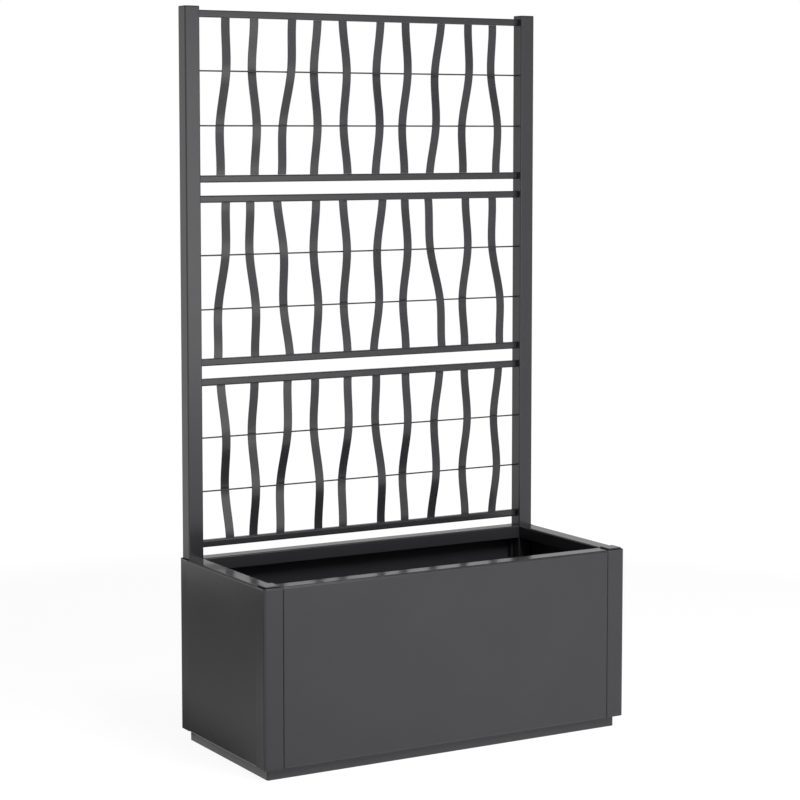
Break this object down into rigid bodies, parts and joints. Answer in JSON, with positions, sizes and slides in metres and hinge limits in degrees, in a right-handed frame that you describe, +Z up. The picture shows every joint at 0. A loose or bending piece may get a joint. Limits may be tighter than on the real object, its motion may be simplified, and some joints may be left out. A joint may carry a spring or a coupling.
{
  "type": "planter with trellis",
  "caption": "Long powder-coated steel planter box on a recessed plinth, with a tall trellis of flat strips woven around wires between square posts.",
  "frame": {"origin": "on the ground at the centre of the planter's footprint", "axes": "+X to the right as seen from the front, +Y from the open front edge towards the trellis at the rear, +Z up"},
  "size_m": [0.8, 0.361, 1.4211],
  "materials": {
    "powder_coat": "satin anthracite powder coat",
    "cap_plastic": "satin anthracite plastic"
  },
  "bodies": {
    "root": {"base_tray": "powder_coat", "side_panel_left": "powder_coat", "side_panel_right": "powder_coat", "front_panel": "powder_coat", "rear_panel": "powder_coat", "front_post_left": "powder_coat", "front_post_cap_left": "cap_plastic", "front_post_right": "powder_coat", "front_post_cap_right": "cap_plastic", "rear_post_left": "powder_coat", "rear_post_cap_left": "cap_plastic", "rear_post_right": "powder_coat", "rear_post_cap_right": "cap_plastic", "lower_rail_bottom": "powder_coat", "lower_rail_top": "powder_coat", "lower_panel_upper_wire": "powder_coat", "lower_panel_lower_wire": "powder_coat", "lower_strip_01": "powder_coat", "lower_strip_02": "powder_coat", "lower_strip_03": "powder_coat", "lower_strip_04": "powder_coat", "lower_strip_05": "powder_coat", "lower_strip_06": "powder_coat", "lower_strip_07": "powder_coat", "lower_strip_08": "powder_coat", "lower_strip_09": "powder_coat", "lower_strip_10": "powder_coat", "middle_rail_bottom": "powder_coat", "middle_rail_top": "powder_coat", "middle_panel_upper_wire": "powder_coat", "middle_panel_lower_wire": "powder_coat", "middle_strip_01": "powder_coat", "middle_strip_02": "powder_coat", "middle_strip_03": "powder_coat", "middle_strip_04": "powder_coat", "middle_strip_05": "powder_coat", "middle_strip_06": "powder_coat", "middle_strip_07": "powder_coat", "middle_strip_08": "powder_coat", "middle_strip_09": "powder_coat", "middle_strip_10": "powder_coat", "upper_rail_bottom": "powder_coat", "upper_rail_top": "powder_coat", "upper_panel_upper_wire": "powder_coat", "upper_panel_lower_wire": "powder_coat", "upper_strip_01": "powder_coat", "upper_strip_02": "powder_coat", "upper_strip_03": "powder_coat", "upper_strip_04": "powder_coat", "upper_strip_05": "powder_coat", "upper_strip_06": "powder_coat", "upper_strip_07": "powder_coat", "upper_strip_08": "powder_coat", "upper_strip_09": "powder_coat", "upper_strip_10": "powder_coat"}
  },
  "joints": []
}
